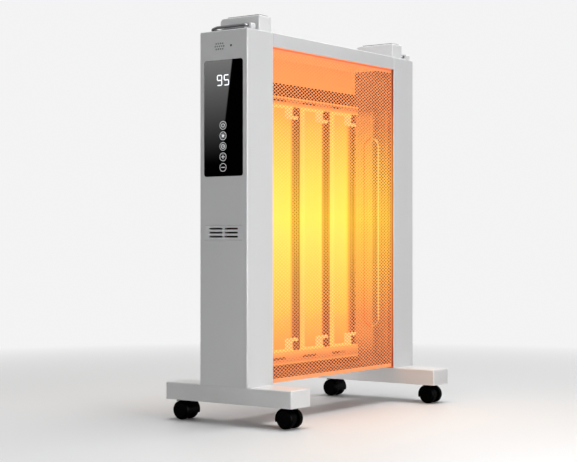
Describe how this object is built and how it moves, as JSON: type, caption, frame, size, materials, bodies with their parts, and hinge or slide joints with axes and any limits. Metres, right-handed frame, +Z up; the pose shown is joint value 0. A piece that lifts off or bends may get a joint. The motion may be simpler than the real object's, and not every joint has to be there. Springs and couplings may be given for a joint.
{
  "type": "space heater",
  "caption": "Free-standing panel heater: a perforated case of glowing boards between box columns with touch controls, on bar feet with swivel castors and fold-up wire loops.",
  "frame": {"origin": "floor under the middle of the case, below the castors", "axes": "+Z up, the front grille faces -Y, the control column is at -X"},
  "size_m": [0.535, 0.27, 0.6937],
  "materials": {
    "satin_paint": "satin white paint",
    "foot_shell": "satin white moulding",
    "block_shell": "satin white moulding",
    "pad_rubber": "matt dark pad",
    "grille_mesh": "thin perforated steel lit from inside",
    "case_sheet": "heat-toned sheet steel",
    "hot_board": "mica heating board at heat",
    "clip_ceramic": "pale fired ceramic",
    "wire_sleeve": "glass-fibre sleeve",
    "steel": "zinc-plated",
    "chrome_wire": "bright plated wire",
    "black_glass": "gloss black backed glass",
    "circuit": "green circuit laminate",
    "lit_marks": "white light guide",
    "black_plastic": "black moulding",
    "sensor_metal": "plated spring",
    "castor_plastic": "black moulding",
    "castor_tyre": "black nylon",
    "castor_steel": "plain steel"
  },
  "bodies": {
    "case": {"left_column_shell": "satin_paint", "right_column_shell": "satin_paint", "top_rail": "satin_paint", "left_foot": "foot_shell", "right_foot": "foot_shell", "left_top_block": "block_shell", "right_top_block": "block_shell", "left_loop_bracket": "block_shell", "right_loop_bracket": "block_shell", "vent_insert": "block_shell", "left_block_pad": "pad_rubber", "right_block_pad": "pad_rubber", "front_grille": "grille_mesh", "rear_grille": "grille_mesh", "left_end_plate": "case_sheet", "right_end_plate": "case_sheet", "bottom_tray": "case_sheet", "upper_rail": "case_sheet", "lower_rail": "case_sheet", "board_posts": "case_sheet", "heating_board_left": "hot_board", "heating_board_middle": "hot_board", "heating_board_right": "hot_board", "ceramic_clips": "clip_ceramic", "element_harness": "wire_sleeve", "end_plate_screws": "steel", "foot_screws": "steel", "thermal_cutout": "steel", "touch_glass": "black_glass", "display_board": "circuit", "power_board": "circuit", "digit_module": "lit_marks", "buzzer": "black_plastic", "remote_receiver": "black_plastic", "power_relays": "black_plastic", "filter_capacitor": "black_plastic", "terminal_block": "black_plastic", "tip_over_switch": "black_plastic", "cord_gland": "black_plastic", "board_spacers": "black_plastic", "touch_sensor_pads": "sensor_metal"},
    "castor_front_left_fork": {"castor_front_left_hood": "castor_plastic", "castor_front_left_stem": "castor_steel"},
    "castor_front_left_roller": {"castor_front_left_wheels": "castor_tyre", "castor_front_left_axle": "castor_steel"},
    "castor_front_right_fork": {"castor_front_right_hood": "castor_plastic", "castor_front_right_stem": "castor_steel"},
    "castor_front_right_roller": {"castor_front_right_wheels": "castor_tyre", "castor_front_right_axle": "castor_steel"},
    "castor_rear_left_fork": {"castor_rear_left_hood": "castor_plastic", "castor_rear_left_stem": "castor_steel"},
    "castor_rear_left_roller": {"castor_rear_left_wheels": "castor_tyre", "castor_rear_left_axle": "castor_steel"},
    "castor_rear_right_fork": {"castor_rear_right_hood": "castor_plastic", "castor_rear_right_stem": "castor_steel"},
    "castor_rear_right_roller": {"castor_rear_right_wheels": "castor_tyre", "castor_rear_right_axle": "castor_steel"},
    "left_loop": {"left_rack_loop": "chrome_wire"},
    "right_loop": {"right_rack_loop": "chrome_wire"}
  },
  "joints": [
    {"name": "castor_front_left_swivel", "type": "hinge", "parent": "case", "child": "castor_front_left_fork", "pos_m": [-0.2315, -0.106, 0.036], "axis": [0, 0, 1], "continuous": true},
    {"name": "castor_front_left_roll", "type": "hinge", "parent": "castor_front_left_fork", "child": "castor_front_left_roller", "pos_m": [-0.2315, -0.112, 0.0165], "axis": [1, 0, 0], "continuous": true},
    {"name": "castor_front_right_swivel", "type": "hinge", "parent": "case", "child": "castor_front_right_fork", "pos_m": [0.2315, -0.106, 0.036], "axis": [0, 0, 1], "continuous": true},
    {"name": "castor_front_right_roll", "type": "hinge", "parent": "castor_front_right_fork", "child": "castor_front_right_roller", "pos_m": [0.2315, -0.112, 0.0165], "axis": [1, 0, 0], "continuous": true},
    {"name": "castor_rear_left_swivel", "type": "hinge", "parent": "case", "child": "castor_rear_left_fork", "pos_m": [-0.2315, 0.106, 0.036], "axis": [0, 0, 1], "continuous": true},
    {"name": "castor_rear_left_roll", "type": "hinge", "parent": "castor_rear_left_fork", "child": "castor_rear_left_roller", "pos_m": [-0.2315, 0.112, 0.0165], "axis": [1, 0, 0], "continuous": true},
    {"name": "castor_rear_right_swivel", "type": "hinge", "parent": "case", "child": "castor_rear_right_fork", "pos_m": [0.2315, 0.106, 0.036], "axis": [0, 0, 1], "continuous": true},
    {"name": "castor_rear_right_roll", "type": "hinge", "parent": "castor_rear_right_fork", "child": "castor_rear_right_roller", "pos_m": [0.2315, 0.112, 0.0165], "axis": [1, 0, 0], "continuous": true},
    {"name": "left_loop_fold", "type": "hinge", "parent": "case", "child": "left_loop", "pos_m": [-0.25, -0.043, 0.6718], "axis": [1, 0, 0], "range_deg": [0, 90]},
    {"name": "right_loop_fold", "type": "hinge", "parent": "case", "child": "right_loop", "pos_m": [0.25, -0.043, 0.6718], "axis": [1, 0, 0], "range_deg": [0, 90]}
  ]
}
